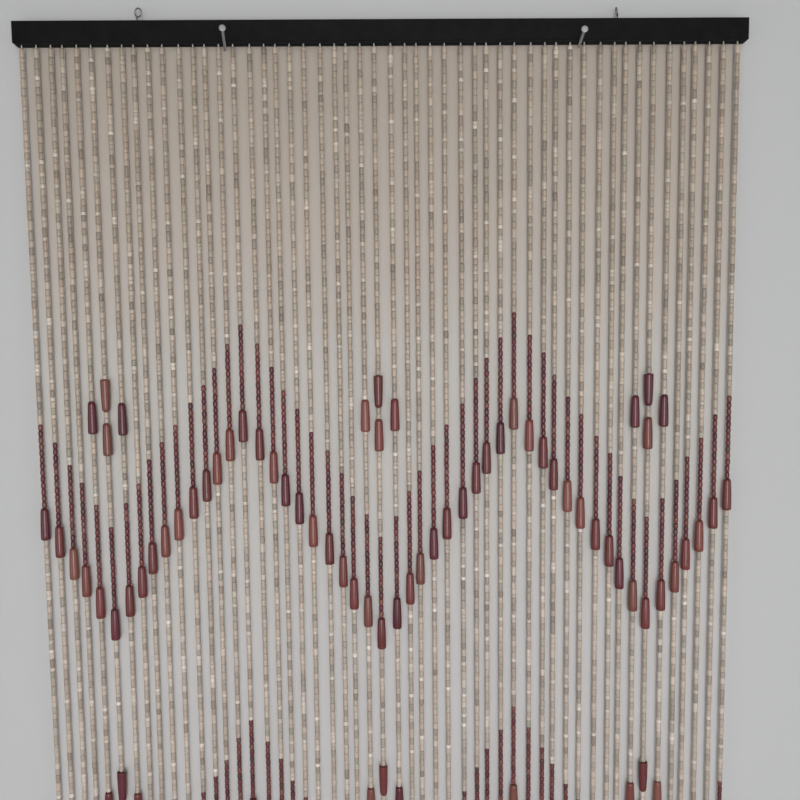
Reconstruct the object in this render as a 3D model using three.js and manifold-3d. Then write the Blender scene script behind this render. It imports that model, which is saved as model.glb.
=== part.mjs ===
// A wooden bead curtain on its painted rail, which rests on two nails.
// Millimetres, +Z up, +X to the viewer's right, the viewer on the -Y side.
// The origin is the centre of the rail's back face, and the wall is the plane Y = 0.
import * as THREE from "three";
import { mergeVertices } from "three/addons/utils/BufferGeometryUtils.js";
import Module from "manifold-3d";

const wasm = await Module();
wasm.setup();

// Clearance between two pieces that touch on the real thing, and how far a cut runs past a face.
const GAP = 0.3;
const CUT_OVERRUN = 1;

const RAIL = { length: 900, depth: 18, height: 26, easedEdge: 0.8 };
const RAIL_TOP = RAIL.height / 2;
const RAIL_BOTTOM = -RAIL.height / 2;

// The strands hang in one line, in the middle of the rail's depth.
const STRAND_Y = -RAIL.depth / 2;
const STRAND_COUNT = 52;
const LAST_STRAND = STRAND_COUNT - 1;

// The holes come from a jig of five, and each end strand has a spacing of its own.
const JIG_GAPS = [20.3, 17.6, 13.9, 17.5, 17.5];
const END_GAP = 17.6;
const ROW_SHIFT = -1.3;

// Threads show for a few millimetres under the rail, and then the beads begin.
const THREAD_RADIUS = 0.8;
const BEAD_TOP = RAIL_BOTTOM - 4;
const STRAND_END = -1960;
const END_UNEVENNESS = 3;

// How far a strand's foot stands out of plumb, sideways and to the front or back.
const FOOT_LEAN = { x: 1.2, y: 1.1 };

const BEAD_RADIUS = 3;
const LONG_BEAD = {
  length: 41.5,
  narrowRadius: 4.95,
  wideRadius: 5.85,
  shoulder: 3,
  rim: 1.2,
};

// One motif is a zigzag of long beads with a diamond of four above each valley.
const MOTIF_COUNT = 3;
const MOTIF_PITCH = 520;
const VALLEY_STRANDS = [5, 25, 45];
const VALLEY_LONG_BOTTOM = -768;
const ZIGZAG_STEP = 27.1;
const DIAMOND_TOP = -423;
const DIAMOND_INNER_GAP = 14.5;
const DIAMOND_SIDE_TOP = -452;

// The zigzag was threaded by eye. Each row is a strand and how far its long bead lies above the rule.
const ZIGZAG_RISES = [
  { strand: 0, rise: 6 },
  { strand: 8, rise: 8 },
  { strand: 13, rise: -6 },
  { strand: 25, rise: -13 },
  { strand: 32, rise: 0 },
  { strand: 42, rise: 8 },
  { strand: 51, rise: 2 },
];
const ZIGZAG_UNEVENNESS = 3;
const DIAMOND_UNEVENNESS = 1.5;

// Each strand has four sides, turned so that it looks equally wide from the front and from the side.
const STRAND_SIDES = 4;
const STRAND_TURN = Math.PI / 8;
const STRAND_FACET_SCALE = 1 / Math.cos(STRAND_TURN);

// The strip in the rail's underside that holds the roots of all the strands.
const STRIP = { width: 5.4, height: 3.4, endMargin: 3 };
const STRIP_BOTTOM = RAIL_BOTTOM + GAP;
const STRIP_TOP = STRIP_BOTTOM + STRIP.height;
const ROOT_DEPTH = 2;

const EYE = {
  ringRadius: 4.8,
  wireRadius: 0.9,
  shankRadius: 1,
  shankDepth: 12,
};

// The length of each neck, and in degrees how far its ring is turned about the shank, how far the
// ring's top leans to -X, and where round the ring the shank joins it.
const EYES = [
  { name: "screw_eye_left", x: -301, neck: 6.7, turn: -25, lean: 18, joint: -140 },
  { name: "screw_eye_right", x: 289.5, neck: 4.4, turn: -100, lean: 12, joint: -115 },
];

const NAIL = {
  shaftRadius: 1.6,
  length: 57,
  headRadius: 4,
  headThickness: 1.4,
  spareLength: 3,
  wallCutSize: 20,
};

// In degrees: how far each nail is turned to the side and how steeply it rises out of the wall.
const NAILS = [
  { name: "nail_left", x: -196, turn: 8.3, rise: 5.7 },
  { name: "nail_right", x: 244.5, turn: -6.9, rise: 0.5 },
];

// How many flat sides each round form has.
const SIDES = { eyeWire: 8, eyeRing: 20, eyeShank: 10, pilotHole: 12, nail: 16 };

const GOLDEN = 0.618033988749895;

// Where in the series of uneven values each use starts, so that no two uses go together.
const START = { diamond: 7, foot: 3, leanX: 11, leanY: 29 };

// Points nearer than this are one point.
const WELD_DISTANCE = 1e-4;

// A repeatable unevenness between -1 and 1 for a whole number.
function uneven(number) {
  return 2 * ((number * GOLDEN) % 1) - 1;
}

function woodMaterial(color, roughness) {
  return new THREE.MeshStandardMaterial({ color, roughness, metalness: 0 });
}

function steelMaterial(color, roughness) {
  return new THREE.MeshStandardMaterial({ color, roughness, metalness: 1 });
}

const PAINTED_WOOD = woodMaterial(0x1c1b1b, 0.45);
const BEAD_WOOD = woodMaterial(0x9a8a78, 0.4);
const DULL_STEEL = steelMaterial(0x8a8a88, 0.45);
const NAIL_STEEL = steelMaterial(0xa8a8a6, 0.4);

// A three.js geometry as a solid that can be joined and cut.
function solidOf(geometry) {
  const bare = geometry.clone();
  bare.deleteAttribute("normal");
  bare.deleteAttribute("uv");
  const merged = mergeVertices(bare, WELD_DISTANCE);
  return new wasm.Manifold(
    new wasm.Mesh({
      numProp: 3,
      vertProperties: merged.attributes.position.array,
      triVerts: new Uint32Array(merged.index.array),
    }),
  );
}

function geometryOf(solid) {
  const mesh = solid.getMesh();
  const geometry = new THREE.BufferGeometry();
  geometry.setAttribute("position", new THREE.BufferAttribute(mesh.vertProperties, 3));
  geometry.setIndex(new THREE.BufferAttribute(mesh.triVerts, 1));
  geometry.computeVertexNormals();
  return geometry;
}

function meshOf(name, geometry, material) {
  const mesh = new THREE.Mesh(geometry, material);
  mesh.name = name;
  return mesh;
}

// A turned shape about +Z from rows of radius and height, given from the bottom up.
function turned(profile, sides, turn = 0) {
  const points = profile.map(({ radius, z }) => new THREE.Vector2(radius, z));
  const lathe = new THREE.LatheGeometry(points, sides, turn);
  return lathe.rotateX(Math.PI / 2);
}

function cylinderAlongZ(radius, low, high, sides) {
  const cylinder = new THREE.CylinderGeometry(radius, radius, high - low, sides);
  return cylinder.rotateX(Math.PI / 2).translate(0, 0, (low + high) / 2);
}

// Where each strand's hole is along the rail.
function strandPlaces() {
  const places = [0];
  for (let strand = 0; strand < LAST_STRAND; strand += 1) {
    const atEnd = strand === 0 || strand === LAST_STRAND - 1;
    const gap = atEnd ? END_GAP : JIG_GAPS[strand % JIG_GAPS.length];
    places.push(places[strand] + gap);
  }
  const middle = places[LAST_STRAND] / 2;
  return places.map((place) => place - middle + ROW_SHIFT);
}

// How many strands away the nearest valley of the zigzag is.
function stepsFromValley(strand) {
  return Math.min(...VALLEY_STRANDS.map((valley) => Math.abs(strand - valley)));
}

function zigzagRise(strand) {
  const next = Math.max(1, ZIGZAG_RISES.findIndex((row) => row.strand >= strand));
  const low = ZIGZAG_RISES[next - 1];
  const high = ZIGZAG_RISES[next];
  const share = (strand - low.strand) / (high.strand - low.strand);
  return THREE.MathUtils.lerp(low.rise, high.rise, share);
}

// The long beads of one strand, from the top down: their bottoms, and which of them hang wide end up.
function longBeadsOf(strand) {
  const steps = stepsFromValley(strand);
  const beads = [];
  for (let motif = 0; motif < MOTIF_COUNT; motif += 1) {
    const number = strand + motif * STRAND_COUNT;
    const drop = motif * MOTIF_PITCH;
    const shift = DIAMOND_UNEVENNESS * uneven(number + START.diamond);
    if (steps === 0) {
      const upper = DIAMOND_TOP - drop + shift - LONG_BEAD.length;
      const lower = upper - DIAMOND_INNER_GAP - LONG_BEAD.length;
      beads.push({ bottom: upper, wideEndUp: true });
      beads.push({ bottom: lower, wideEndUp: false });
    }
    if (steps === 1) {
      const bottom = DIAMOND_SIDE_TOP - drop + shift - LONG_BEAD.length;
      beads.push({ bottom, wideEndUp: false });
    }
    const rise = zigzagRise(strand) + ZIGZAG_UNEVENNESS * uneven(number);
    const bottom = VALLEY_LONG_BOTTOM + steps * ZIGZAG_STEP - drop + rise;
    beads.push({ bottom, wideEndUp: false });
  }
  return beads;
}

// The swelling of a strand at one long bead, from the bottom up.
function longBeadProfile({ bottom, wideEndUp }) {
  const top = bottom + LONG_BEAD.length;
  const wide = LONG_BEAD.wideRadius;
  const narrow = LONG_BEAD.narrowRadius;
  const lowInset = wideEndUp ? LONG_BEAD.shoulder : LONG_BEAD.rim;
  const highInset = wideEndUp ? LONG_BEAD.rim : LONG_BEAD.shoulder;
  return [
    { radius: BEAD_RADIUS, z: bottom },
    { radius: wideEndUp ? narrow : wide, z: bottom + lowInset },
    { radius: wideEndUp ? wide : narrow, z: top - highInset },
    { radius: BEAD_RADIUS, z: top },
  ];
}

// One strand about its own axis, from its root in the strip down to its foot.
function strandGeometry(strand) {
  const foot = STRAND_END + END_UNEVENNESS * uneven(strand + START.foot);
  const profile = [
    { radius: 0, z: foot },
    { radius: BEAD_RADIUS, z: foot },
  ];
  for (const bead of longBeadsOf(strand).reverse()) {
    profile.push(...longBeadProfile(bead));
  }
  profile.push({ radius: BEAD_RADIUS, z: BEAD_TOP });
  profile.push({ radius: THREAD_RADIUS, z: BEAD_TOP });
  profile.push({ radius: THREAD_RADIUS, z: STRIP_BOTTOM + ROOT_DEPTH });
  profile.push({ radius: 0, z: STRIP_BOTTOM + ROOT_DEPTH });
  const wider = profile.map(({ radius, z }) => ({ radius: radius * STRAND_FACET_SCALE, z }));
  return turned(wider, STRAND_SIDES, STRAND_TURN);
}

// A strand moved to its hole, with its foot a little out of plumb.
function strandInPlace(strand, x) {
  const drop = RAIL_BOTTOM - STRAND_END;
  const slopeX = (FOOT_LEAN.x * uneven(strand + START.leanX)) / drop;
  const slopeY = (FOOT_LEAN.y * uneven(strand + START.leanY)) / drop;
  const geometry = strandGeometry(strand);
  geometry.translate(0, 0, -RAIL_BOTTOM);
  geometry.rotateX(slopeY);
  geometry.rotateY(-slopeX);
  return geometry.translate(x, STRAND_Y, RAIL_BOTTOM);
}

// All the strands, their roots fused into the strip.
function strandRow() {
  const places = strandPlaces();
  const length = places[LAST_STRAND] - places[0] + 2 * STRIP.endMargin;
  const strip = new THREE.BoxGeometry(length, STRIP.width, STRIP.height);
  strip.translate(ROW_SHIFT, STRAND_Y, (STRIP_BOTTOM + STRIP_TOP) / 2);
  const solids = places.map((x, strand) => solidOf(strandInPlace(strand, x)));
  const row = wasm.Manifold.union([solidOf(strip), ...solids]);
  return meshOf("strands", geometryOf(row), BEAD_WOOD);
}

// The rail's section, seen along the rail, with its long edges eased.
function railSection() {
  const ease = RAIL.easedEdge;
  const front = -RAIL.depth;
  const section = new THREE.Shape();
  section.moveTo(0, RAIL_BOTTOM + ease);
  section.lineTo(0, RAIL_TOP - ease);
  section.lineTo(-ease, RAIL_TOP);
  section.lineTo(front + ease, RAIL_TOP);
  section.lineTo(front, RAIL_TOP - ease);
  section.lineTo(front, RAIL_BOTTOM + ease);
  section.lineTo(front + ease, RAIL_BOTTOM);
  section.lineTo(-ease, RAIL_BOTTOM);
  section.closePath();
  return section;
}

function railBar() {
  const bar = new THREE.ExtrudeGeometry(railSection(), { depth: RAIL.length, bevelEnabled: false });
  bar.translate(0, 0, -RAIL.length / 2);
  const alongX = new THREE.Matrix4().makeBasis(
    new THREE.Vector3(0, 1, 0),
    new THREE.Vector3(0, 0, 1),
    new THREE.Vector3(1, 0, 0),
  );
  return bar.applyMatrix4(alongX);
}

// The groove that the strip lies in, closed at both ends.
function railGroove() {
  const places = strandPlaces();
  const stripLength = places[LAST_STRAND] - places[0] + 2 * STRIP.endMargin;
  const roof = STRIP_TOP + GAP;
  const floor = RAIL_BOTTOM - CUT_OVERRUN;
  const groove = new THREE.BoxGeometry(stripLength + 2 * GAP, STRIP.width + 2 * GAP, roof - floor);
  return groove.translate(ROW_SHIFT, STRAND_Y, (roof + floor) / 2);
}

// The hole's flat sides, and not its corners, keep clear of the shank.
function pilotHole(x) {
  const bottom = RAIL_TOP - EYE.shankDepth - GAP;
  const radius = (EYE.shankRadius + GAP) / Math.cos(Math.PI / SIDES.pilotHole);
  const hole = cylinderAlongZ(radius, bottom, RAIL_TOP + CUT_OVERRUN, SIDES.pilotHole);
  return hole.translate(x, STRAND_Y, 0);
}

function rail() {
  let bar = solidOf(railBar()).subtract(solidOf(railGroove()));
  for (const eye of EYES) {
    bar = bar.subtract(solidOf(pilotHole(eye.x)));
  }
  return meshOf("rail", geometryOf(bar), PAINTED_WOOD);
}

// How a ring that starts upright and square to the wall is turned and tilted.
function ringTilt({ turn, lean }) {
  const tilt = new THREE.Matrix4().makeRotationY(-THREE.MathUtils.degToRad(lean));
  return tilt.multiply(new THREE.Matrix4().makeRotationZ(THREE.MathUtils.degToRad(turn)));
}

// A closed ring on a plain shank, which meets the middle of the ring's wire.
function screwEye(eye) {
  const tilt = ringTilt(eye);
  const jointZ = RAIL_TOP + eye.neck + EYE.wireRadius;
  const angle = THREE.MathUtils.degToRad(eye.joint);
  const joint = new THREE.Vector3(Math.cos(angle), 0, Math.sin(angle));
  joint.multiplyScalar(EYE.ringRadius).applyMatrix4(tilt);
  const ring = new THREE.TorusGeometry(EYE.ringRadius, EYE.wireRadius, SIDES.eyeWire, SIDES.eyeRing);
  ring.rotateX(Math.PI / 2).applyMatrix4(tilt).translate(-joint.x, -joint.y, jointZ - joint.z);
  const foot = RAIL_TOP - EYE.shankDepth;
  const shank = cylinderAlongZ(EYE.shankRadius, foot, jointZ, SIDES.eyeShank);
  const mesh = meshOf(eye.name, geometryOf(solidOf(ring).add(solidOf(shank))), DULL_STEEL);
  mesh.position.set(eye.x, STRAND_Y, 0);
  return mesh;
}

// How high a nail starts on the wall, so that the rail's front lower edge just clears its shaft.
function nailHeight(turn, rise) {
  const edgeAlong = RAIL.depth / Math.cos(turn);
  const topAboveAxis = NAIL.shaftRadius / Math.cos(rise);
  return RAIL_BOTTOM - GAP - topAboveAxis - edgeAlong * Math.tan(rise);
}

// A nail that slopes up out of the wall, with its shaft cut flush with the wall.
function nail({ name, x, turn, rise }) {
  const { shaftRadius, headRadius, headThickness, length, spareLength, wallCutSize } = NAIL;
  const profile = [
    { radius: 0, z: -spareLength },
    { radius: shaftRadius, z: -spareLength },
    { radius: shaftRadius, z: length - headThickness },
    { radius: headRadius, z: length - headThickness },
    { radius: headRadius, z: length - headThickness / 2 },
    { radius: headRadius / 2, z: length },
    { radius: 0, z: length },
  ];
  const body = turned(profile, SIDES.nail);
  const turnAngle = THREE.MathUtils.degToRad(turn);
  const riseAngle = THREE.MathUtils.degToRad(rise);
  body.rotateX(Math.PI / 2 - riseAngle);
  body.rotateZ(turnAngle);
  const wallSide = new THREE.BoxGeometry(wallCutSize, wallCutSize, wallCutSize);
  wallSide.translate(0, wallCutSize / 2, 0);
  const cut = solidOf(body).subtract(solidOf(wallSide));
  const mesh = meshOf(name, geometryOf(cut), NAIL_STEEL);
  mesh.position.set(x, 0, nailHeight(turnAngle, riseAngle));
  return mesh;
}

const curtain = new THREE.Group();
curtain.add(rail());
curtain.add(strandRow());
for (const eye of EYES) {
  curtain.add(screwEye(eye));
}
for (const row of NAILS) {
  curtain.add(nail(row));
}

export default curtain;
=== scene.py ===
import math
import random

import bpy
import numpy as np
from mathutils import Matrix, Vector


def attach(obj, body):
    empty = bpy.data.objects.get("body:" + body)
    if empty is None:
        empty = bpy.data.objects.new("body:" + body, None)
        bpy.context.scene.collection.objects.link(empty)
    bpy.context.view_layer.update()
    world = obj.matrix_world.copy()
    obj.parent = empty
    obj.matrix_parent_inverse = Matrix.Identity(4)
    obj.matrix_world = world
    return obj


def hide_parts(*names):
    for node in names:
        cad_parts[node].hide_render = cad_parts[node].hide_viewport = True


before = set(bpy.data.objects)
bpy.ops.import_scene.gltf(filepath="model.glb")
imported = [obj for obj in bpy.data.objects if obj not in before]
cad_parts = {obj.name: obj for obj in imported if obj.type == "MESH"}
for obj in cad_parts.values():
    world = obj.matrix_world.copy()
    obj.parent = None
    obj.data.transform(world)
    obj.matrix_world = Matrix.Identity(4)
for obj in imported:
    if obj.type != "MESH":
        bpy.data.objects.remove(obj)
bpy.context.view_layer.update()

# Lengths are in millimetres until a mesh is made, and MM turns them into metres.
MM = 0.001

# Driving sizes, the same as the part's own.
GAP = 0.3
RAIL_DEPTH = 18
RAIL_HEIGHT = 26
RAIL_TOP = RAIL_HEIGHT / 2
RAIL_BOTTOM = -RAIL_HEIGHT / 2

STRAND_Y = -RAIL_DEPTH / 2
STRAND_COUNT = 52
LAST_STRAND = STRAND_COUNT - 1
JIG_GAPS = (20.3, 17.6, 13.9, 17.5, 17.5)
END_GAP = 17.6
ROW_SHIFT = -1.3
BEAD_TOP = RAIL_BOTTOM - 4
STRAND_END = -1960
END_UNEVENNESS = 3
FOOT_LEAN_X = 1.2
FOOT_LEAN_Y = 1.1

BEAD_RADIUS = 3
LONG_LENGTH = 41.5
LONG_WIDE_RADIUS = 5.85
LONG_NARROW_RADIUS = 4.95

MOTIF_COUNT = 3
MOTIF_PITCH = 520
VALLEY_STRANDS = (5, 25, 45)
VALLEY_LONG_BOTTOM = -768
ZIGZAG_STEP = 27.1
DIAMOND_TOP = -423
DIAMOND_INNER_GAP = 14.5
DIAMOND_SIDE_TOP = -452
ZIGZAG_RISES = (
    {"strand": 0, "rise": 6},
    {"strand": 8, "rise": 8},
    {"strand": 13, "rise": -6},
    {"strand": 25, "rise": -13},
    {"strand": 32, "rise": 0},
    {"strand": 42, "rise": 8},
    {"strand": 51, "rise": 2},
)
ZIGZAG_UNEVENNESS = 3
DIAMOND_UNEVENNESS = 1.5

STRIP_WIDTH = 5.4
STRIP_HEIGHT = 3.4
STRIP_END_MARGIN = 3
STRIP_BOTTOM = RAIL_BOTTOM + GAP

# The golden ratio's share spreads uneven values well. Each use starts at its own place, as in the part.
GOLDEN = 0.618033988749895
START_DIAMOND = 7
START_FOOT = 3
START_LEAN_X = 11
START_LEAN_Y = 29

# What is on a strand: 13 small red beads above each long bead of the zigzag, and natural ones elsewhere.
SMALL_RED_COUNT = 13
SMALL_RED_RUN = 108
SMALL_RED_LENGTH_SPREAD = 0.06
NATURAL_PITCH = 8.2
NATURAL_CUTS = (0.6, 1.0, 1.4)
NATURAL_CUT_WEIGHTS = (2, 5, 2)
NATURAL_LENGTH_SPREAD = 0.12
BEAD_SPACE = 0.12

# A natural bead shorter than this is one of the paler ones.
SHORT_BEAD = 6

# The beads are joined into this many meshes of each kind.
NATURAL_GROUPS = 4
SMALL_RED_GROUPS = 2

# Seeds, so that each run gives the same curtain.
BEAD_SEED = 52
THREAD_SEED = 7
KNOT_SEED = 8


def uneven(number):
    """A repeatable unevenness between -1 and 1 for a whole number."""
    return 2 * ((number * GOLDEN) % 1) - 1


def strand_places():
    """Where each strand's hole is along the rail."""
    places = [0.0]
    for strand in range(LAST_STRAND):
        at_end = strand in (0, LAST_STRAND - 1)
        gap = END_GAP if at_end else JIG_GAPS[strand % len(JIG_GAPS)]
        places.append(places[-1] + gap)
    middle = places[-1] / 2
    return [place - middle + ROW_SHIFT for place in places]


PLACES = strand_places()


def steps_from_valley(strand):
    """How many strands away the nearest valley of the zigzag is."""
    return min(abs(strand - valley) for valley in VALLEY_STRANDS)


def zigzag_rise(strand):
    """How far the zigzag lies above its rule at a strand."""
    strands = [row["strand"] for row in ZIGZAG_RISES]
    rises = [row["rise"] for row in ZIGZAG_RISES]
    return float(np.interp(strand, strands, rises))


def strand_foot(strand):
    return STRAND_END + END_UNEVENNESS * uneven(strand + START_FOOT)


def long_beads_of(strand):
    """One strand's long beads, from the top down: bottom, wide end up or not, and in the zigzag or not."""
    steps = steps_from_valley(strand)
    beads = []
    for motif in range(MOTIF_COUNT):
        number = strand + motif * STRAND_COUNT
        drop = motif * MOTIF_PITCH
        shift = DIAMOND_UNEVENNESS * uneven(number + START_DIAMOND)
        if steps == 0:
            upper = DIAMOND_TOP - drop + shift - LONG_LENGTH
            lower = upper - DIAMOND_INNER_GAP - LONG_LENGTH
            beads.append({"bottom": upper, "wide_up": True, "zigzag": False})
            beads.append({"bottom": lower, "wide_up": False, "zigzag": False})
        if steps == 1:
            bottom = DIAMOND_SIDE_TOP - drop + shift - LONG_LENGTH
            beads.append({"bottom": bottom, "wide_up": False, "zigzag": False})
        rise = zigzag_rise(strand) + ZIGZAG_UNEVENNESS * uneven(number)
        bottom = VALLEY_LONG_BOTTOM + steps * ZIGZAG_STEP - drop + rise
        beads.append({"bottom": bottom, "wide_up": False, "zigzag": True})
    return beads


def lean_of(strand):
    """How far a strand hangs out of plumb along X and Y, for each millimetre below the rail."""
    drop = RAIL_BOTTOM - STRAND_END
    slope_x = FOOT_LEAN_X * uneven(strand + START_LEAN_X) / drop
    slope_y = FOOT_LEAN_Y * uneven(strand + START_LEAN_Y) / drop
    return slope_x, slope_y


def on_strand(points, strand):
    """Moves points about a strand's own axis to the strand's place in the curtain."""
    slope_x, slope_y = lean_of(strand)
    depth = RAIL_BOTTOM - points[..., 2]
    moved = points.copy()
    moved[..., 0] += PLACES[strand] + slope_x * depth
    moved[..., 1] += STRAND_Y + slope_y * depth
    return moved


def run_of_beads(kind, top, bottom, shares):
    """Beads of one kind that fill a stretch of a strand, their lengths in the proportion of the shares."""
    scale = (top - bottom) / sum(shares)
    beads = []
    high = top
    for share in shares:
        low = high - share * scale
        beads.append({"kind": kind, "top": high - BEAD_SPACE / 2, "bottom": low + BEAD_SPACE / 2})
        high = low
    return beads


def uneven_shares(count, spread, rng):
    return [1 + spread * rng.uniform(-1, 1) for _ in range(count)]


def natural_run(top, bottom, rng):
    """Natural beads are cut unevenly: some are much shorter or longer than the rest."""
    count = max(1, round((top - bottom) / NATURAL_PITCH))
    cuts = rng.choices(NATURAL_CUTS, NATURAL_CUT_WEIGHTS, k=count)
    spreads = uneven_shares(count, NATURAL_LENGTH_SPREAD, rng)
    shares = [cut * spread for cut, spread in zip(cuts, spreads)]
    return run_of_beads("natural", top, bottom, shares)


def beads_on(strand, rng):
    """Every bead of one strand, from the rail down to the foot."""
    beads = []
    high = BEAD_TOP
    for bead in long_beads_of(strand):
        long_top = bead["bottom"] + LONG_LENGTH
        red_top = long_top + (SMALL_RED_RUN if bead["zigzag"] else 0)
        beads += natural_run(high, red_top, rng)
        if bead["zigzag"]:
            shares = uneven_shares(SMALL_RED_COUNT, SMALL_RED_LENGTH_SPREAD, rng)
            beads += run_of_beads("small_red", red_top, long_top, shares)
        beads.append({
            "kind": "long_red",
            "top": long_top,
            "bottom": bead["bottom"] + BEAD_SPACE,
            "wide_up": bead["wide_up"],
        })
        high = bead["bottom"]
    return beads + natural_run(high, strand_foot(strand), rng)


class MeshParts:
    """Collects vertices and faces of many like shapes for one joined mesh."""

    def __init__(self):
        self.points = []
        self.loops = []
        self.totals = []
        self.tints = []
        self.grains = []
        self.shades = []
        self.count = 0

    def add(self, points, faces, tint=(1, 1, 1), grain=None, shades=None):
        self.points.append(points)
        for face in faces:
            self.loops.extend(self.count + corner for corner in face)
            self.totals.append(len(face))
        size = len(points)
        self.tints.append(np.tile((*tint, 1.0), (size, 1)))
        self.grains.append(points if grain is None else grain)
        self.shades.append(np.ones(size) if shades is None else shades)
        self.count += size

    def build(self, name, material, smooth=True):
        mesh = bpy.data.meshes.new(name)
        totals = np.array(self.totals, np.int32)
        starts = np.concatenate(([0], np.cumsum(totals)[:-1])).astype(np.int32)
        mesh.vertices.add(self.count)
        mesh.vertices.foreach_set("co", (np.concatenate(self.points) * MM).ravel())
        mesh.loops.add(len(self.loops))
        mesh.loops.foreach_set("vertex_index", np.array(self.loops, np.int32))
        mesh.polygons.add(len(totals))
        mesh.polygons.foreach_set("loop_start", starts)
        mesh.polygons.foreach_set("loop_total", totals)
        mesh.polygons.foreach_set("use_smooth", np.full(len(totals), smooth))
        mesh.update(calc_edges=True)
        tint = mesh.attributes.new("tint", "FLOAT_COLOR", "POINT")
        tint.data.foreach_set("color", np.concatenate(self.tints).ravel())
        grain = mesh.attributes.new("grain", "FLOAT_VECTOR", "POINT")
        grain.data.foreach_set("vector", np.concatenate(self.grains).ravel())
        shade = mesh.attributes.new("shade", "FLOAT", "POINT")
        shade.data.foreach_set("value", np.concatenate(self.shades))
        mesh.validate()
        piece = bpy.data.objects.new(name, mesh)
        bpy.context.scene.collection.objects.link(piece)
        mesh.materials.append(material)
        return piece


def ring_faces(rings, sides):
    """Faces around a stack of rings, from the bottom up, with a flat cap at each end."""
    faces = []
    for ring in range(rings - 1):
        low = ring * sides
        for side in range(sides):
            after = (side + 1) % sides
            faces.append((low + side, low + after, low + sides + after, low + sides + side))
    last = (rings - 1) * sides
    faces.append(tuple(reversed(range(sides))))
    faces.append(tuple(range(last, last + sides)))
    return faces


def turned_over(faces):
    """The same faces, looking the other way."""
    return [(face[0], *face[:0:-1]) for face in faces]


def lathe(profile, sides):
    """Unit rings about Z from (radius, height, shade) rows, bottom up, with a flat cap at each end."""
    angles = np.arange(sides) * 2 * math.pi / sides
    points = []
    shades = []
    for radius, height, shade in profile:
        ring = np.stack([radius * np.cos(angles), radius * np.sin(angles), np.full(sides, height)], 1)
        points.append(ring)
        shades += [shade] * sides
    return np.concatenate(points), ring_faces(len(profile), sides), np.array(shades, float)


def tube(path, radius, sides):
    """A closed round tube along a path, with its points and faces."""
    path = [Vector(point) for point in path]
    points = []
    side_way = Vector((0, 1, 0))
    for index, here in enumerate(path):
        before = path[max(index - 1, 0)]
        after = path[min(index + 1, len(path) - 1)]
        along = (after - before).normalized()
        across = along.cross(side_way).normalized()
        side_way = across.cross(along).normalized()
        for side in range(sides):
            angle = 2 * math.pi * side / sides
            points.append(here + radius * (math.cos(angle) * across + math.sin(angle) * side_way))
    return np.array(points), turned_over(ring_faces(len(path), sides))


# Bead outlines from bottom to top: share of the radius, share of the length, and a factor on the bead's
# colour, lower towards the darker ends.
NATURAL_PROFILE = ((0.90, 0.0, 0.94), (1.0, 0.16, 1.0), (1.0, 0.84, 1.0), (0.90, 1.0, 0.94))
SMALL_RED_PROFILE = (
    (0.72, 0.0, 0.8),
    (0.90, 0.12, 0.95),
    (1.0, 0.34, 1.0),
    (1.0, 0.66, 1.0),
    (0.90, 0.88, 0.95),
    (0.72, 1.0, 0.8),
)
LONG_PROFILE = (
    (0.80, 0.0, 0.6),
    (0.95, 0.012, 0.85),
    (1.0, 0.04, 1.0),
    (1.0, 0.16, 1.0),
    (0.965, 0.50, 1.0),
    (LONG_NARROW_RADIUS / LONG_WIDE_RADIUS, 0.885, 1.0),
    (0.80, 0.94, 0.95),
    (0.66, 0.98, 0.85),
    (0.48, 1.0, 0.6),
)
SHORT_BEAD_SIDES = 9
LONG_BEAD_SIDES = 16
TEMPLATES = {
    "natural": lathe(NATURAL_PROFILE, SHORT_BEAD_SIDES),
    "small_red": lathe(SMALL_RED_PROFILE, SHORT_BEAD_SIDES),
    "long_red": lathe(LONG_PROFILE, LONG_BEAD_SIDES),
}
RADII = {"natural": BEAD_RADIUS, "small_red": BEAD_RADIUS, "long_red": LONG_WIDE_RADIUS}
RADIUS_SPREAD = {"natural": 0.05, "small_red": 0.04, "long_red": 0.025}

# How loosely a bead sits: its greatest tilt when it is one pitch long, and its play on the thread.
BEAD_TILT = math.radians(1.2)
BEAD_PLAY = 0.15

# The grain is drawn out along the bead, and each bead is cut from its own place in the wood.
GRAIN_STRETCH = (1, 1, 0.12)
WOOD_SIZE = 500

# Base colours as linear light, each with how often it turns up.
NATURAL_TINTS = (
    ((0.370, 0.300, 0.235), 5),
    ((0.335, 0.272, 0.215), 4),
    ((0.420, 0.352, 0.286), 3),
    ((0.295, 0.246, 0.198), 2),
    ((0.302, 0.267, 0.206), 1),
    ((0.250, 0.201, 0.158), 1),
)
SHORT_TINTS = (
    ((0.540, 0.470, 0.400), 2),
    ((0.440, 0.370, 0.300), 3),
    ((0.370, 0.305, 0.245), 2),
)
RED_TINTS = (
    ((0.122, 0.028, 0.031), 6),
    ((0.138, 0.038, 0.034), 4),
    ((0.095, 0.020, 0.028), 3),
    ((0.155, 0.062, 0.048), 2),
    ((0.085, 0.034, 0.028), 1),
)
LONG_TINTS = (
    ((0.130, 0.026, 0.026), 5),
    ((0.160, 0.042, 0.034), 3),
    ((0.086, 0.015, 0.023), 3),
    ((0.172, 0.058, 0.044), 1),
)
TINTS = {"natural": NATURAL_TINTS, "small_red": RED_TINTS, "long_red": LONG_TINTS}
TINT_SPREAD = {"natural": 0.16, "small_red": 0.22, "long_red": 0.19}

# The natural beads are a little paler from the zigzag down than just under the rail.
UPPER_TONE_Z = -300
LOWER_TONE_Z = -700
LOWER_TONE = (1.17, 1.19, 1.26)


def height_tone(kind, z):
    """What a bead's colour is multiplied by at a height."""
    if kind != "natural":
        return (1, 1, 1)
    share = min(max((UPPER_TONE_Z - z) / (UPPER_TONE_Z - LOWER_TONE_Z), 0), 1)
    return [1 + share * (tone - 1) for tone in LOWER_TONE]


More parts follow.
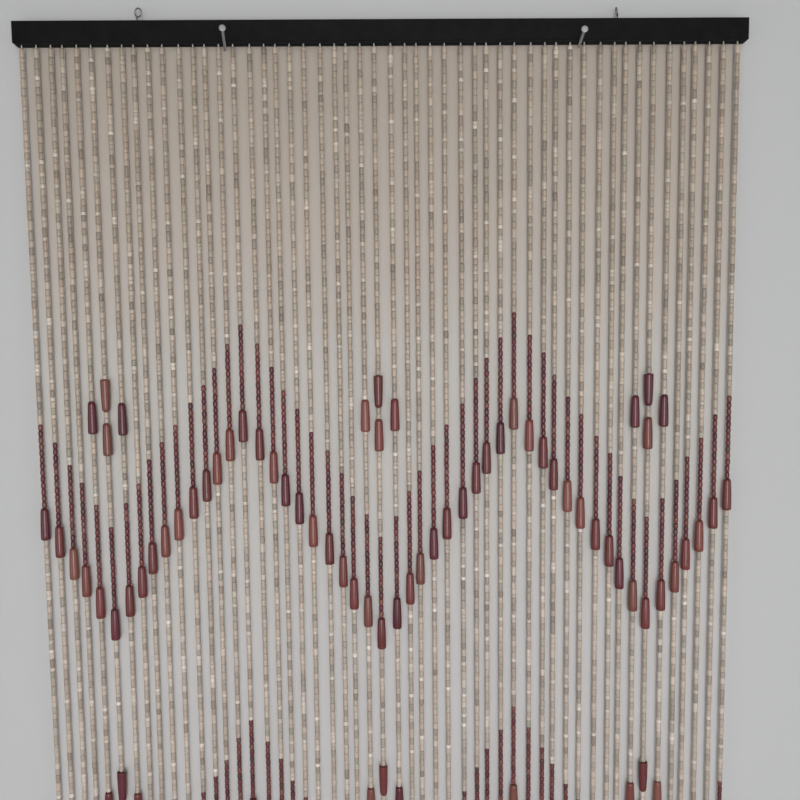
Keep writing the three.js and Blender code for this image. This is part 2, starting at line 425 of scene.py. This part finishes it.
def bead_tint(kind, z, length, rng):
    """One bead's own colour, as linear light."""
    short = kind == "natural" and length < SHORT_BEAD
    table = SHORT_TINTS if short else TINTS[kind]
    colours = [colour for colour, _ in table]
    weights = [weight for _, weight in table]
    colour = rng.choices(colours, weights)[0]
    level = 1 + TINT_SPREAD[kind] * rng.uniform(-1, 1)
    return [channel * level * tone for channel, tone in zip(colour, height_tone(kind, z))]


def add_bead(parts, bead, strand, rng):
    """One bead: turned on its thread, slightly off centre and slightly askew, as loose beads sit."""
    kind = bead["kind"]
    template, faces, shades = TEMPLATES[kind]
    radius = RADII[kind] * (1 + RADIUS_SPREAD[kind] * rng.uniform(-1, 1))
    length = bead["top"] - bead["bottom"]
    points = template * (radius, radius, length)
    if bead.get("wide_up"):
        points = points * (1, -1, -1) + (0, 0, length)
    grain = points * GRAIN_STRETCH + [rng.uniform(0, WOOD_SIZE) for _ in range(3)]
    turn = rng.uniform(0, 2 * math.pi)
    tilt = BEAD_TILT * rng.uniform(-1, 1) * NATURAL_PITCH / max(length, NATURAL_PITCH)
    middle = Vector((0, 0, length / 2))
    spin = Matrix.Rotation(turn, 3, "Z")
    lean = Matrix.Rotation(tilt, 3, Vector((math.cos(turn), math.sin(turn), 0)))
    points = (points - middle) @ np.array(lean @ spin).T + middle
    points += (rng.uniform(-BEAD_PLAY, BEAD_PLAY), rng.uniform(-BEAD_PLAY, BEAD_PLAY), bead["bottom"])
    tint = bead_tint(kind, bead["bottom"], length, rng)
    parts.add(on_strand(points, strand), faces, tint, grain, shades)


class Surface:
    """A new material, with short ways to add the few kinds of node that this scene needs."""

    def __init__(self, name):
        self.material = bpy.data.materials.new(name)
        self.material.use_nodes = True
        self.nodes = self.material.node_tree.nodes
        self.join = self.material.node_tree.links.new
        self.shader = self.nodes["Principled BSDF"]

    def add(self, kind, values):
        """A node of one kind, with fixed values in its sockets."""
        node = self.nodes.new(kind)
        for socket, value in values.items():
            node.inputs[socket].default_value = value
        return node

    def fix(self, values):
        """Sets sockets of the shader to values that are the same all over."""
        for socket, value in values.items():
            self.shader.inputs[socket].default_value = value

    def feed(self, socket, output):
        """Lets another node set a socket of the shader."""
        self.join(output, self.shader.inputs[socket])

    def place(self):
        """Where a point is on its piece, in metres."""
        return self.nodes.new("ShaderNodeTexCoord").outputs["Object"]

    def attribute(self, name, output):
        """What a mesh keeps under a name for each of its points."""
        node = self.nodes.new("ShaderNodeAttribute")
        node.attribute_name = name
        return node.outputs[output]

    def noise(self, vector, scale, detail):
        node = self.add("ShaderNodeTexNoise", {"Scale": scale, "Detail": detail, "Roughness": 0.6})
        self.join(vector, node.inputs["Vector"])
        return node.outputs["Fac"]

    def remap(self, value, low, high, start=0, end=1):
        """Spreads a value that runs from start to end over low to high."""
        limits = {"From Min": start, "From Max": end, "To Min": low, "To Max": high}
        node = self.add("ShaderNodeMapRange", limits)
        self.join(value, node.inputs["Value"])
        return node.outputs["Result"]

    def arithmetic(self, operation, *values):
        node = self.nodes.new("ShaderNodeMath")
        node.operation = operation
        for value, socket in zip(values, node.inputs):
            self.join(value, socket)
        return node.outputs["Value"]

    def scaled(self, colour, factor):
        node = self.nodes.new("ShaderNodeVectorMath")
        node.operation = "SCALE"
        self.join(colour, node.inputs["Vector"])
        self.join(factor, node.inputs["Scale"])
        return node.outputs["Vector"]

    def ramp(self, value, rows):
        """A colour that follows a value, from rows of the value and the colour that it has there."""
        node = self.nodes.new("ShaderNodeValToRGB")
        elements = node.color_ramp.elements
        # A ramp starts with two rows. The others are added between them and then moved into place.
        while len(elements) < len(rows):
            elements.new(0.5)
        for element, (position, colour) in zip(elements, rows):
            element.position = position
            element.color = (*colour, 1)
        self.join(value, node.inputs["Fac"])
        return node.outputs["Color"]

    def bump(self, height, distance, strength):
        """Raises the surface a little, by a distance in metres."""
        node = self.add("ShaderNodeBump", {"Strength": strength, "Distance": distance})
        self.join(height, node.inputs["Height"])
        self.feed("Normal", node.outputs["Normal"])


BEAD_ROUGHNESS = {"low": 0.32, "high": 0.52}


def bead_material(name, grain_scale, darkest_streak, specular, coat, coat_roughness):
    """Lacquered wood: each bead has its own tint, streaks along it and darker ends."""
    surface = Surface(name)
    streaks = surface.noise(surface.attribute("grain", "Vector"), grain_scale, detail=4)
    level = surface.remap(streaks, darkest_streak, 2 - darkest_streak)
    factor = surface.arithmetic("MULTIPLY", level, surface.attribute("shade", "Fac"))
    surface.feed("Base Color", surface.scaled(surface.attribute("tint", "Color"), factor))
    surface.feed("Roughness", surface.remap(streaks, BEAD_ROUGHNESS["low"], BEAD_ROUGHNESS["high"]))
    surface.fix({"Specular IOR Level": specular, "Coat Weight": coat, "Coat Roughness": coat_roughness})
    surface.bump(streaks, distance=0.0001, strength=0.5)
    return surface.material


def natural_wood():
    return bead_material(
        "natural_wood",
        grain_scale=0.9,
        darkest_streak=0.80,
        specular=0.3,
        coat=0.3,
        coat_roughness=0.18,
    )


def small_red_lacquer():
    return bead_material(
        "red_lacquer",
        grain_scale=0.8,
        darkest_streak=0.72,
        specular=0.12,
        coat=0.6,
        coat_roughness=0.19,
    )


def long_red_lacquer():
    return bead_material(
        "long_red_lacquer",
        grain_scale=0.8,
        darkest_streak=0.72,
        specular=0.05,
        coat=0.8,
        coat_roughness=0.15,
    )


# The bare and the dusty tone of the rail's paint, each with the noise level that it begins at.
PAINT_TONES = ((0.35, (0.0042, 0.0040, 0.0048)), (0.80, (0.0085, 0.0079, 0.0086)))
BRUSH_STRETCH = (6, 160, 160)


def rail_paint():
    """Near-black satin paint on wood: brush marks along the rail and a little dust."""
    surface = Surface("rail_paint")
    place = surface.place()
    stretch = surface.add("ShaderNodeMapping", {"Scale": BRUSH_STRETCH})
    surface.join(place, stretch.inputs["Vector"])
    brush = surface.noise(stretch.outputs["Vector"], scale=4, detail=5)
    dust = surface.noise(place, scale=60, detail=4)
    surface.feed("Base Color", surface.ramp(dust, PAINT_TONES))
    surface.feed("Roughness", surface.remap(brush, 0.5, 0.64))
    surface.fix({"Specular IOR Level": 0.09})
    surface.bump(brush, distance=0.0003, strength=0.3)
    return surface.material


def steel(name, colour, smoothest, roughest):
    """Dull steel with fine drawing marks."""
    surface = Surface(name)
    marks = surface.noise(surface.place(), scale=900, detail=3)
    base = surface.nodes.new("ShaderNodeRGB").outputs["Color"]
    base.default_value = (*colour, 1)
    surface.fix({"Metallic": 1})
    surface.feed("Base Color", surface.scaled(base, surface.remap(marks, 0.75, 1.15)))
    surface.feed("Roughness", surface.remap(marks, smoothest, roughest))
    surface.bump(marks, distance=0.00005, strength=0.4)
    return surface.material


THREAD_TONES = ((0, (0.42, 0.38, 0.34)), (1, (0.68, 0.64, 0.59)))


def twisted_thread():
    """Off-white twisted thread."""
    surface = Surface("thread")
    wave = surface.add("ShaderNodeTexWave", {"Scale": 900, "Distortion": 1.5})
    wave.bands_direction = "DIAGONAL"
    surface.join(surface.place(), wave.inputs["Vector"])
    twist = wave.outputs["Fac"]
    surface.feed("Base Color", surface.ramp(twist, THREAD_TONES))
    surface.fix({"Roughness": 0.85, "Sheen Weight": 0.3})
    surface.bump(twist, distance=0.0002, strength=0.6)
    return surface.material


NATURAL_WOOD = natural_wood()
SMALL_RED_LACQUER = small_red_lacquer()
LONG_RED_LACQUER = long_red_lacquer()
RAIL_PAINT = rail_paint()
DULL_STEEL = steel("dull_steel", (0.30, 0.29, 0.28), smoothest=0.35, roughest=0.6)
NAIL_STEEL = steel("nail_steel", (0.46, 0.46, 0.45), smoothest=0.62, roughest=0.8)
THREAD = twisted_thread()


def place_piece(piece, slot, *nodes):
    """Fixes a piece to the curtain's one body, in place of solids of the part."""
    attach(piece, "root")
    if nodes:
        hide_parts(*nodes)


def make_beads():
    """All the beads, joined into a few meshes by kind and by stretch of the rail."""
    rng = random.Random(BEAD_SEED)
    naturals = [MeshParts() for _ in range(NATURAL_GROUPS)]
    small_reds = [MeshParts() for _ in range(SMALL_RED_GROUPS)]
    longs = MeshParts()
    for strand in range(STRAND_COUNT):
        natural = naturals[strand * NATURAL_GROUPS // STRAND_COUNT]
        small_red = small_reds[strand * SMALL_RED_GROUPS // STRAND_COUNT]
        groups = {"natural": natural, "small_red": small_red, "long_red": longs}
        for bead in beads_on(strand, rng):
            add_bead(groups[bead["kind"]], bead, strand, rng)
    for number, parts in enumerate(naturals, 1):
        piece = parts.build(f"natural_beads_{number}", NATURAL_WOOD)
        place_piece(piece, "bead_wood", "strands")
    for number, parts in enumerate(small_reds, 1):
        piece = parts.build(f"small_red_beads_{number}", SMALL_RED_LACQUER)
        place_piece(piece, "red_lacquer", "strands")
    place_piece(longs.build("long_red_beads", LONG_RED_LACQUER), "red_lacquer", "strands")


THREAD_RADIUS = 0.42

# The two threads of a strand leave its hole close together and spread towards the first bead.
THREAD_SPREAD = 1.1
THREAD_SPREAD_RANGE = (0.7, 1.1)
THREAD_START_OFFSET = 0.25
THREAD_START_DEPTH = 1.2
THREAD_BEND_SHARE = 0.45
THREAD_IN_BEAD = 0.4
THREAD_TURN = math.radians(25)
THREAD_SIDES = 6


def make_threads():
    """Under the rail a doubled thread fans out from each hole to its first bead."""
    rng = random.Random(THREAD_SEED)
    parts = MeshParts()
    bend_z = (STRIP_BOTTOM + BEAD_TOP) / 2
    for strand in range(STRAND_COUNT):
        turn = THREAD_TURN * rng.uniform(-1, 1)
        reach = THREAD_SPREAD * rng.uniform(*THREAD_SPREAD_RANGE)
        for side in (-1, 1):
            foot = (side * reach * math.cos(turn), side * reach * math.sin(turn), BEAD_TOP - THREAD_IN_BEAD)
            bend = (foot[0] * THREAD_BEND_SHARE, foot[1] * THREAD_BEND_SHARE, bend_z)
            start = (side * THREAD_START_OFFSET, 0, STRIP_BOTTOM + THREAD_START_DEPTH)
            points, faces = tube((start, bend, foot), THREAD_RADIUS, THREAD_SIDES)
            parts.add(on_strand(points, strand), faces)
    place_piece(parts.build("top_threads", THREAD), "thread", "strands")


KNOT_RADIUS = 1.5
KNOT_HEIGHT = 2.4
KNOT_PROFILE = ((0.35, 0.0, 1), (0.85, 0.2, 1), (1.0, 0.5, 1), (0.85, 0.8, 1), (0.35, 1.0, 1))
KNOT_SIDES = 8

# The tail starts inside the knot and swings out sideways, up to a millimetre at its end.
TAIL_LENGTHS = (4, 7)
TAIL_IN_KNOT = 0.4
TAIL_STEPS = (0, 0.35, 0.7, 1)
TAIL_SIDES = 5


def tail_path(top, swing_x, swing_y, length):
    """A short tail that bends more and more out of plumb, like a quarter of a parabola."""
    return [(swing_x * step ** 2, swing_y * step ** 2, top - length * step) for step in TAIL_STEPS]


def make_knots():
    """Each strand ends in a knot under its last bead, with a short tail."""
    rng = random.Random(KNOT_SEED)
    parts = MeshParts()
    template, knot_faces, _ = lathe(KNOT_PROFILE, KNOT_SIDES)
    for strand in range(STRAND_COUNT):
        knot_bottom = strand_foot(strand) - KNOT_HEIGHT
        knot = template * (KNOT_RADIUS, KNOT_RADIUS, KNOT_HEIGHT) + (0, 0, knot_bottom)
        parts.add(on_strand(knot, strand), knot_faces)
        swing_x = rng.uniform(-1, 1)
        swing_y = rng.uniform(-1, 1)
        length = rng.uniform(*TAIL_LENGTHS)
        path = tail_path(knot_bottom + TAIL_IN_KNOT, swing_x, swing_y, length)
        points, faces = tube(path, THREAD_RADIUS, TAIL_SIDES)
        parts.add(on_strand(points, strand), faces)
    place_piece(parts.build("foot_knots", THREAD), "thread", "strands")


HOLE_RADIUS = 1.15
HOLE_DEPTH = 2.2
HOLE_SIDES = 16
CELL_HALF = 2.4

# The strip's faces but for its underside, from the four corners of its left end and then of its right.
OPEN_BOX_FACES = ((0, 3, 2, 1), (4, 5, 6, 7), (0, 4, 7, 3), (1, 2, 6, 5), (3, 7, 6, 2))


def strip_end(x, front, back):
    """The four corners of the strip at one of its ends."""
    top = STRIP_BOTTOM + STRIP_HEIGHT
    return [(x, front, STRIP_BOTTOM), (x, back, STRIP_BOTTOM), (x, back, top), (x, front, top)]


def cell_point(x, angle, half_x, half_y):
    """A point on the edge of a hole's rectangle of strip, with its corners among 16 even angles."""
    across = math.cos(angle)
    along = math.sin(angle)
    reach = max(abs(across), abs(along))
    return (x + half_x * across / reach, STRAND_Y + half_y * along / reach, STRIP_BOTTOM)


def add_hole(parts, x):
    """A drilled blind hole, with the rectangle of the strip's underside around it."""
    angles = [2 * math.pi * n / HOLE_SIDES for n in range(HOLE_SIDES)]
    points = [cell_point(x, angle, CELL_HALF, STRIP_WIDTH / 2) for angle in angles]
    for z in (STRIP_BOTTOM, STRIP_BOTTOM + HOLE_DEPTH):
        points += [
            (x + HOLE_RADIUS * math.cos(angle), STRAND_Y + HOLE_RADIUS * math.sin(angle), z)
            for angle in angles
        ]
    faces = []
    for n in range(HOLE_SIDES):
        after = (n + 1) % HOLE_SIDES
        near = HOLE_SIDES + n
        far = HOLE_SIDES + after
        faces.append((near, far, after, n))
        faces.append((near, HOLE_SIDES + near, HOLE_SIDES + far, far))
    faces.append(tuple(reversed(range(2 * HOLE_SIDES, 3 * HOLE_SIDES))))
    parts.add(np.array(points), faces)


def make_strip():
    """The painted strip in the rail's groove, with a drilled hole for each strand."""
    parts = MeshParts()
    front = STRAND_Y - STRIP_WIDTH / 2
    back = STRAND_Y + STRIP_WIDTH / 2
    left_end = PLACES[0] - STRIP_END_MARGIN
    right_end = PLACES[-1] + STRIP_END_MARGIN
    parts.add(np.array(strip_end(left_end, front, back) + strip_end(right_end, front, back)), OPEN_BOX_FACES)
    edges = [left_end]
    for x in PLACES:
        edges += [x - CELL_HALF, x + CELL_HALF]
    edges.append(right_end)
    for left, right in zip(edges[::2], edges[1::2]):
        corners = [(left, front), (right, front), (right, back), (left, back)]
        parts.add(np.array([(x, y, STRIP_BOTTOM) for x, y in corners]), [(0, 3, 2, 1)])
    for x in PLACES:
        add_hole(parts, x)
    place_piece(parts.build("root_strip", RAIL_PAINT, smooth=False), "rail_paint", "strands")


# Each ring is turned about its shank, its top leans to the left, and the neck joins it at one angle.
SCREW_EYES = (
    {"side": "left", "x": -301, "neck": 6.7, "turn": -25, "lean": 18, "joint": -140},
    {"side": "right", "x": 289.5, "neck": 4.4, "turn": -100, "lean": 12, "joint": -115},
)
EYE_RING_RADIUS = 4.8
EYE_WIRE_RADIUS = 0.9
EYE_SWEEP = 338
EYE_STEPS = 40
EYE_SIDES = 12

# How deep the neck starts inside the rail, and the share of it that is straight.
NECK_IN_RAIL = 3
NECK_STRAIGHT_SHARE = 0.7


def make_screw_eye(eye):
    """Bent wire: a straight neck out of the rail and a ring whose end comes back to the neck."""
    lean = Matrix.Rotation(-math.radians(eye["lean"]), 3, "Y")
    tilt = lean @ Matrix.Rotation(math.radians(eye["turn"]), 3, "Z")
    joint_z = RAIL_TOP + eye["neck"] + EYE_WIRE_RADIUS
    ring = []
    for step in range(EYE_STEPS + 1):
        angle = math.radians(eye["joint"] - EYE_SWEEP * step / EYE_STEPS)
        ring.append(EYE_RING_RADIUS * (tilt @ Vector((math.cos(angle), 0, math.sin(angle)))))
    shift = Vector((0, 0, joint_z)) - ring[0]
    neck_heights = (RAIL_TOP - NECK_IN_RAIL, RAIL_TOP, RAIL_TOP + eye["neck"] * NECK_STRAIGHT_SHARE)
    path = [Vector((0, 0, z)) for z in neck_heights] + [point + shift for point in ring]
    points, faces = tube(path, EYE_WIRE_RADIUS, EYE_SIDES)
    parts = MeshParts()
    parts.add(points + (eye["x"], STRAND_Y, 0), faces)
    piece = parts.build(f"screw_eye_wire_{eye['side']}", DULL_STEEL)
    place_piece(piece, "dull_steel", f"screw_eye_{eye['side']}")


# In degrees: how far each nail is turned to the side and how steeply it rises out of the wall.
NAILS = (
    {"side": "left", "x": -196, "turn": 8.3, "rise": 5.7},
    {"side": "right", "x": 244.5, "turn": -6.9, "rise": 0.5},
)
NAIL_SHAFT_RADIUS = 1.6
NAIL_LENGTH = 57
NAIL_HEAD_RADIUS = 4
NAIL_HEAD_THICKNESS = 1.4
NAIL_HEAD_BOTTOM = NAIL_LENGTH - NAIL_HEAD_THICKNESS
NAIL_SIDES = 24

# The shaft has a few grip grooves below its head, each with a sloping side, a floor and a sloping side.
GRIP_COUNT = 5
GRIP_START = NAIL_HEAD_BOTTOM - 11
GRIP_PITCH = 1.6
GRIP_STEP = 0.3
GRIP_FLOOR_RADIUS = NAIL_SHAFT_RADIUS * 0.9
GRIP_FLOOR_SHADE = 0.6

# The neck and the head from the shaft up: radius, height and a factor on the steel's colour, lower where it
# is darker.
NAIL_HEAD_PROFILE = (
    (NAIL_SHAFT_RADIUS, NAIL_HEAD_BOTTOM - 1.2, 1),
    (NAIL_SHAFT_RADIUS * 1.35, NAIL_HEAD_BOTTOM, 0.8),
    (NAIL_HEAD_RADIUS * 0.94, NAIL_HEAD_BOTTOM, 0.8),
    (NAIL_HEAD_RADIUS, NAIL_HEAD_BOTTOM + 0.35, 1),
    (NAIL_HEAD_RADIUS, NAIL_HEAD_BOTTOM + 0.9, 1),
    (NAIL_HEAD_RADIUS * 0.9, NAIL_LENGTH - 0.05, 1),
    (NAIL_HEAD_RADIUS * 0.5, NAIL_LENGTH, 1),
)


def nail_height(turn, rise):
    """The height of a nail's axis at the wall, where the nail just clears the rail's front edge."""
    edge_along = RAIL_DEPTH / math.cos(turn)
    top_above_axis = NAIL_SHAFT_RADIUS / math.cos(rise)
    return RAIL_BOTTOM - GAP - top_above_axis - edge_along * math.tan(rise)


def nail_profile():
    """Shaft with grip grooves under a flat head with a rounded rim."""
    rows = [(NAIL_SHAFT_RADIUS, 0, 1)]
    for groove in range(GRIP_COUNT):
        low = GRIP_START + groove * GRIP_PITCH
        rows.append((NAIL_SHAFT_RADIUS, low, 1))
        rows.append((GRIP_FLOOR_RADIUS, low + GRIP_STEP, GRIP_FLOOR_SHADE))
        rows.append((GRIP_FLOOR_RADIUS, low + 2 * GRIP_STEP, GRIP_FLOOR_SHADE))
        rows.append((NAIL_SHAFT_RADIUS, low + 3 * GRIP_STEP, 1))
    return [*rows, *NAIL_HEAD_PROFILE]


def make_nail(nail):
    """One nail, turned and rising, its first ring slid along it into the plane of the wall."""
    turn = math.radians(nail["turn"])
    rise = math.radians(nail["rise"])
    points, faces, shades = lathe(nail_profile(), NAIL_SIDES)
    tip = Matrix.Rotation(math.pi / 2 - rise, 3, "X")
    spin = Matrix.Rotation(turn, 3, "Z")
    points = points @ np.array(spin @ tip).T
    along = np.array(spin @ tip @ Vector((0, 0, 1)))
    wall_ring = points[:NAIL_SIDES]
    points[:NAIL_SIDES] = wall_ring - np.outer(wall_ring[:, 1] / along[1], along)
    parts = MeshParts()
    parts.add(points + (nail["x"], 0, nail_height(turn, rise)), faces, shades=shades)
    piece = parts.build(f"nail_turned_{nail['side']}", NAIL_STEEL)
    place_piece(piece, "nail_steel", f"nail_{nail['side']}")


# The stage is a pale wall a millimetre behind the rail and a pale floor a little below the strands.
WALL_COLOUR = (0.470, 0.475, 0.480)
WALL_BACK = 1
WALL_HALF_WIDTH = 1800
WALL_TOP = 420
FLOOR_COLOUR = (0.62, 0.62, 0.61)
FLOOR_Z = -2010
FLOOR_REACH = 2600
STAGE_ROUGHNESS = 0.9

# Painted shade and light on the wall behind the curtain, by how far below the origin it is, in metres, and
# the colour painted there: darkest just under the rail for the rail's shadow, darker and warmer near the top
# for the strands' shadows and the light bounced off the beads, and a little lighter than the rest of the
# wall lower down.
WALL_PAINTED_SHADE_AND_LIGHT = (
    (0.0, WALL_COLOUR),
    (0.013, (0.418, 0.370, 0.325)),
    (0.06, (0.418, 0.370, 0.325)),
    (0.26, (0.482, 0.440, 0.402)),
    (0.42, (0.514, 0.497, 0.475)),
    (0.78, (0.523, 0.518, 0.521)),
)
# How far the painted shade reaches to either side of the middle, and the width over which it fades out, in
# metres.
PAINTED_SHADE_HALF_WIDTH = 0.455
PAINTED_SHADE_FADE = 0.02


def plane(name, corners, material):
    mesh = bpy.data.meshes.new(name)
    mesh.from_pydata([Vector(corner) * MM for corner in corners], [], [(0, 1, 2, 3)])
    piece = bpy.data.objects.new(name, mesh)
    bpy.context.scene.collection.objects.link(piece)
    mesh.materials.append(material)
    return piece


def stage_surface(name, colour):
    """A matt colour that is see-through from its far side, so that it never hides the curtain."""
    surface = Surface(name)
    surface.fix({"Base Color": (*colour, 1), "Roughness": STAGE_ROUGHNESS})
    side = surface.nodes.new("ShaderNodeNewGeometry")
    clear = surface.nodes.new("ShaderNodeBsdfTransparent")
    mix = surface.nodes.new("ShaderNodeMixShader")
    surface.join(side.outputs["Backfacing"], mix.inputs["Fac"])
    surface.join(surface.shader.outputs["BSDF"], mix.inputs[1])
    surface.join(clear.outputs["BSDF"], mix.inputs[2])
    surface.join(mix.outputs["Shader"], surface.nodes["Material Output"].inputs["Surface"])
    return surface


def paint_shade_on_wall(surface):
    """Painted shade on the wall: darker and warmer under the rail and behind the upper strands, where their
    shadows and light bounced off the beads fall, and painted a little lighter lower down.
    """
    place = surface.nodes.new("ShaderNodeSeparateXYZ")
    surface.join(surface.place(), place.inputs["Vector"])
    depth = surface.remap(place.outputs["Z"], 0, 1, start=0, end=-1)
    # Painted shade and light: the wall's colour here follows the depth below the origin.
    painted_shade_and_light = surface.ramp(depth, WALL_PAINTED_SHADE_AND_LIGHT)
    across = surface.arithmetic("ABSOLUTE", place.outputs["X"])
    fade_start = PAINTED_SHADE_HALF_WIDTH - PAINTED_SHADE_FADE
    behind = surface.remap(across, 1, 0, start=fade_start, end=PAINTED_SHADE_HALF_WIDTH)
    mix = surface.add("ShaderNodeMixRGB", {"Color1": (*WALL_COLOUR, 1)})
    surface.join(behind, mix.inputs["Fac"])
    surface.join(painted_shade_and_light, mix.inputs["Color2"])
    surface.feed("Base Color", mix.outputs["Color"])


def make_wall():
    surface = stage_surface("stage_wall", WALL_COLOUR)
    paint_shade_on_wall(surface)
    corners = [
        (-WALL_HALF_WIDTH, WALL_BACK, FLOOR_Z),
        (WALL_HALF_WIDTH, WALL_BACK, FLOOR_Z),
        (WALL_HALF_WIDTH, WALL_BACK, WALL_TOP),
        (-WALL_HALF_WIDTH, WALL_BACK, WALL_TOP),
    ]
    wall = plane("stage_wall", corners, surface.material)
    wall.visible_shadow = False
    wall.visible_glossy = False


def make_floor():
    surface = stage_surface("stage_floor", FLOOR_COLOUR)
    corners = [
        (-FLOOR_REACH, -FLOOR_REACH, FLOOR_Z),
        (FLOOR_REACH, -FLOOR_REACH, FLOOR_Z),
        (FLOOR_REACH, FLOOR_REACH, FLOOR_Z),
        (-FLOOR_REACH, FLOOR_REACH, FLOOR_Z),
    ]
    plane("stage_floor", corners, surface.material)


# Area lights in metres and watts, all aimed at the middle of the curtain: a broad window and a tall
# lamp in front, a weak fill on each side, and one behind for the curtain's back.
LIGHT_AIM = (0, 0, -0.85)
LIGHTS = (
    {
        "name": "window",
        "place": (0.05, -2.7, -0.85),
        "size": (2.4, 1.6),
        "power": 30,
        "colour": (1.0, 0.99, 0.975),
    },
    {
        "name": "tall_lamp",
        "place": (0.1, -2.4, -0.25),
        "size": (0.3, 2.2),
        "power": 21,
        "colour": (1.0, 0.985, 0.965),
    },
    {
        "name": "fill_left",
        "place": (-2.2, -1.5, -0.9),
        "size": (1.2, 1.6),
        "power": 7,
        "colour": (1.0, 0.99, 0.98),
    },
    {
        "name": "fill_right",
        "place": (2.2, -1.5, -0.9),
        "size": (1.2, 1.6),
        "power": 7,
        "colour": (0.97, 0.985, 1.0),
    },
    {
        "name": "from_behind",
        "place": (0.3, 2.8, 0.6),
        "size": (2.4, 2.0),
        "power": 18,
        "colour": (1.0, 1.0, 1.0),
    },
)
WORLD_COLOUR = (0.60, 0.615, 0.62)
WORLD_STRENGTH = 0.42


def make_light(row):
    data = bpy.data.lights.new(row["name"], "AREA")
    data.shape = "RECTANGLE"
    data.size, data.size_y = row["size"]
    data.energy = row["power"]
    data.color = row["colour"]
    light = bpy.data.objects.new(row["name"], data)
    light.location = row["place"]
    light.rotation_mode = "QUATERNION"
    light.rotation_quaternion = (Vector(LIGHT_AIM) - Vector(row["place"])).to_track_quat("-Z", "Y")
    bpy.context.scene.collection.objects.link(light)


def make_world():
    world = bpy.data.worlds.new("studio")
    world.use_nodes = True
    background = world.node_tree.nodes["Background"]
    background.inputs["Color"].default_value = (*WORLD_COLOUR, 1)
    background.inputs["Strength"].default_value = WORLD_STRENGTH
    bpy.context.scene.world = world


# The camera stands a metre in front of the curtain and about 0.36 m below the rail, and looks slightly
# down. Its place is in millimetres, and its focal length is in pixels of the photo.
CAMERA_PLACE = (0.24, -1004.0, -371.8)
CAMERA_YAW = math.radians(-0.90)
CAMERA_PITCH = math.radians(4.74)
CAMERA_ROLL = math.radians(-0.64)
CAMERA_FOCAL_PIXELS = 780
FRAME_PIXELS = 800
SENSOR_MM = 36
CAMERA_CLIP_START = 0.01


def make_camera():
    data = bpy.data.cameras.new("camera")
    data.sensor_width = SENSOR_MM
    data.lens = CAMERA_FOCAL_PIXELS / FRAME_PIXELS * SENSOR_MM
    data.clip_start = CAMERA_CLIP_START
    camera = bpy.data.objects.new("camera", data)
    level = Matrix.Rotation(math.pi / 2, 3, "X")
    yaw = Matrix.Rotation(CAMERA_YAW, 3, "Z")
    pitch = Matrix.Rotation(-CAMERA_PITCH, 3, "X")
    roll = Matrix.Rotation(CAMERA_ROLL, 3, "Z")
    camera.rotation_mode = "QUATERNION"
    camera.rotation_quaternion = (yaw @ pitch @ level @ roll).to_quaternion()
    camera.location = Vector(CAMERA_PLACE) * MM
    bpy.context.scene.collection.objects.link(camera)
    bpy.context.scene.camera = camera
    bpy.context.scene.view_settings.view_transform = "Standard"


def paint_rail():
    """The rail keeps the part's own solid and gets its paint."""
    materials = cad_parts["rail"].data.materials
    materials.clear()
    materials.append(RAIL_PAINT)


make_camera()
paint_rail()
make_beads()
make_threads()
make_knots()
make_strip()
for screw_eye in SCREW_EYES:
    make_screw_eye(screw_eye)
for steel_nail in NAILS:
    make_nail(steel_nail)
make_wall()
make_floor()
for light_row in LIGHTS:
    make_light(light_row)
make_world()
